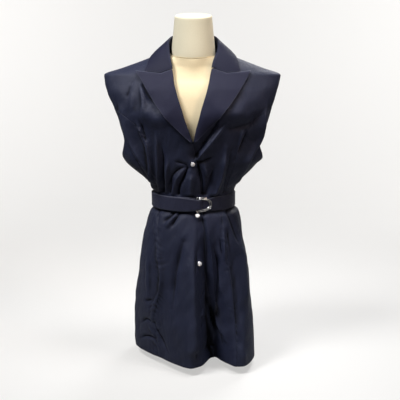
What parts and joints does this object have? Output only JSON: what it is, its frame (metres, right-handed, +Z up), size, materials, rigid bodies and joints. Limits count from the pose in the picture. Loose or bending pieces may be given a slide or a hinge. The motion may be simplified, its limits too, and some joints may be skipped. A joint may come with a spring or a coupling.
{
  "type": "belted sleeveless long waistcoat on a limbless dress form",
  "caption": "Navy sleeveless longline waistcoat with peaked lapels, wide shoulders, pearl snaps and a D-ring belt, worn by a cream limbless dress form on a small round stand.",
  "frame": {"origin": "on the underside of the stand's base plate, straight below the middle of the neck, on the surface the form stands on", "axes": "+Z up, the front of the waistcoat faces -Y, the wearer's left is +X"},
  "size_m": [0.4701, 0.346, 0.945],
  "materials": {
    "cloth": "smooth navy twill with a slight sheen",
    "belt_cloth": "the same twill, interfaced, with edge stitching",
    "metal": "polished silver-coloured wire",
    "pearl": "pearlescent snap cap with a pale metal rim",
    "form_cover": "cream plain-weave jersey cover, matt",
    "stand": "warm grey satin enamel"
  },
  "bodies": {
    "root": {"front_right": "cloth", "front_left": "cloth", "side_front_right": "cloth", "side_front_left": "cloth", "back_right": "cloth", "back_left": "cloth", "lapel_right": "cloth", "lapel_left": "cloth", "collar": "cloth", "belt": "belt_cloth", "ring_outer": "metal", "ring_inner": "metal", "button_top": "pearl", "button_middle": "pearl", "button_low": "pearl", "form_body": "form_cover", "form_neck": "form_cover", "stand_pole": "stand", "stand_base": "stand"}
  },
  "joints": []
}
